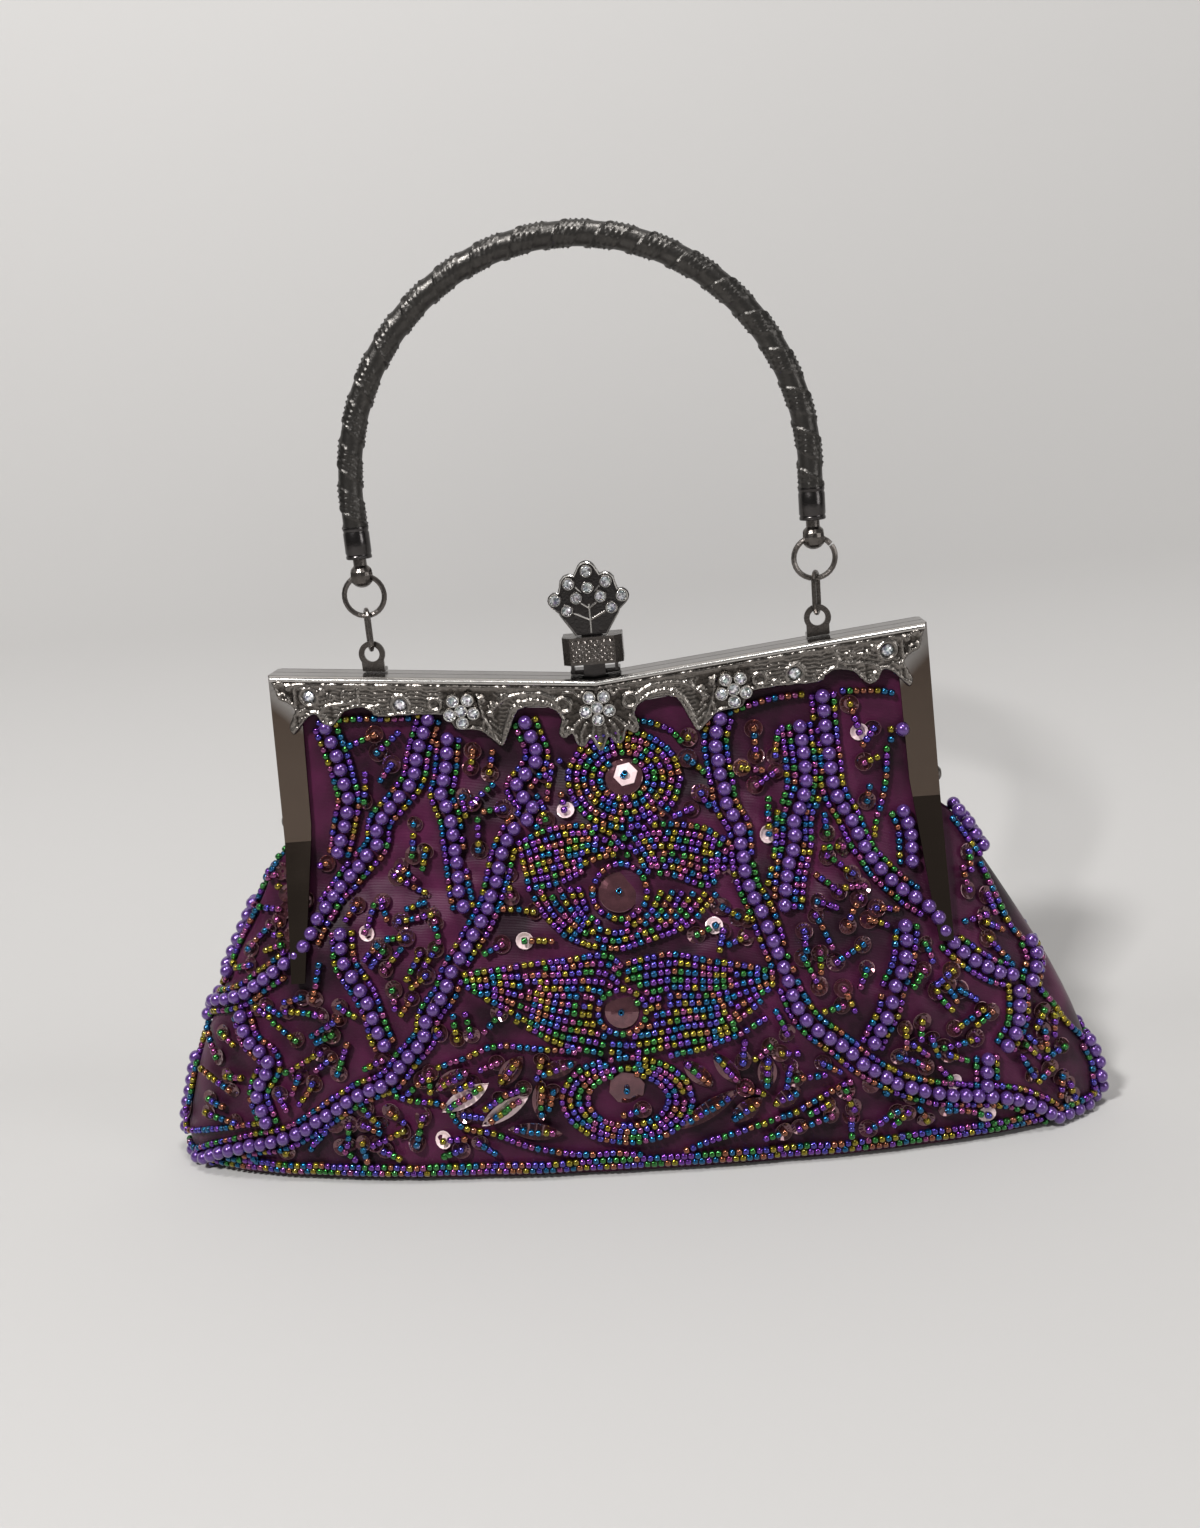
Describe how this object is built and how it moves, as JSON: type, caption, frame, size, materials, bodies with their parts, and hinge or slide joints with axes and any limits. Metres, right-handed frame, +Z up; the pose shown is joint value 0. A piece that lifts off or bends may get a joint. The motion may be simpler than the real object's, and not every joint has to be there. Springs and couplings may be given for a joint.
{
  "type": "beaded evening handbag",
  "caption": "Small beaded satin handbag on a hinged metal frame with hanging filigree, a stone-set tilting clasp and a stiff rope handle on rings.",
  "frame": {"origin": "middle of the flat base the bag stands on", "axes": "+X the bag's right side seen from the front, +Y its back, +Z up towards the handle"},
  "size_m": [0.237, 0.0502, 0.2231],
  "materials": {
    "gunmetal": "polished dark gunmetal plating",
    "pewter": "antiqued pewter-coloured casting with dark recesses",
    "dark_metal": "polished black-nickel plating",
    "satin": "plum satin, covered with beadwork outside",
    "lining_cloth": "dark plum lining cloth",
    "card": "stiff card",
    "rope": "dark snake-embossed wrapped rope with a low sheen",
    "crystal": "clear foiled cut stone"
  },
  "bodies": {
    "back_frame": {"back_jaw": "gunmetal", "back_filigree": "pewter", "back_flower_left": "pewter", "back_flower_centre": "pewter", "back_flower_right": "pewter", "hinge_rivet_left": "dark_metal", "hinge_rivet_right": "dark_metal", "handle_tab_left": "dark_metal", "handle_tab_right": "dark_metal", "clasp_bracket": "dark_metal", "clasp_pin": "dark_metal", "clasp_spring": "gunmetal", "bag_shell": "satin", "lining": "lining_cloth", "base_board": "card"},
    "front_frame": {"front_jaw": "gunmetal", "front_filigree": "pewter", "front_flower_left": "pewter", "front_flower_centre": "pewter", "front_flower_right": "pewter"},
    "clasp": {"clasp_block": "dark_metal", "clasp_ornament": "dark_metal", "clasp_tongue": "dark_metal", "clasp_stone_01": "crystal", "clasp_stone_02": "crystal", "clasp_stone_03": "crystal", "clasp_stone_04": "crystal", "clasp_stone_05": "crystal", "clasp_stone_06": "crystal", "clasp_stone_07": "crystal", "clasp_stone_08": "crystal", "clasp_stone_09": "crystal", "clasp_stone_10": "crystal"},
    "link_left": {"link_left": "dark_metal"},
    "ring_left": {"ring_left": "dark_metal"},
    "handle": {"handle_grip": "rope", "ferrule_left": "dark_metal", "ferrule_right": "dark_metal", "ball_tip_left": "dark_metal", "ball_tip_right": "dark_metal"},
    "link_right": {"link_right": "dark_metal"},
    "ring_right": {"ring_right": "dark_metal"}
  },
  "joints": [
    {"name": "jaw_open", "type": "hinge", "parent": "back_frame", "child": "front_frame", "pos_m": [0, 0, 0.089], "axis": [1, 0, 0], "range_deg": [0, 40], "deforming": ["bag_shell", "lining"]},
    {"name": "clasp_tilt", "type": "hinge", "parent": "back_frame", "child": "clasp", "pos_m": [0, 0.0005, 0.1246], "axis": [-1, 0, 0], "range_deg": [0, 12], "stiffness_Nm_per_rad": 0.02, "deforming": ["clasp_spring"]},
    {"name": "link_left_swing", "type": "hinge", "parent": "back_frame", "child": "link_left", "pos_m": [-0.0539, 0.001, 0.13183], "axis": [-1, 0, 0], "range_deg": [-60, 60]},
    {"name": "ring_left_swing", "type": "hinge", "parent": "link_left", "child": "ring_left", "pos_m": [-0.0539, 0.001, 0.13863], "axis": [-1, 0, 0], "range_deg": [-50, 50]},
    {"name": "handle_swing", "type": "hinge", "parent": "ring_left", "child": "handle", "pos_m": [-0.0539, 0.001, 0.14833], "axis": [-1, 0, 0], "range_deg": [-60, 60]},
    {"name": "link_right_swing", "type": "hinge", "parent": "back_frame", "child": "link_right", "pos_m": [0.0539, 0.001, 0.13183], "axis": [-1, 0, 0], "range_deg": [-60, 60]},
    {"name": "ring_right_swing", "type": "hinge", "parent": "link_right", "child": "ring_right", "pos_m": [0.0539, 0.001, 0.13863], "axis": [-1, 0, 0], "range_deg": [-50, 50]}
  ],
  "couplings": [
    {"joint": "link_right_swing", "follows": "link_left_swing", "ratio": 1},
    {"joint": "ring_right_swing", "follows": "ring_left_swing", "ratio": 1}
  ]
}
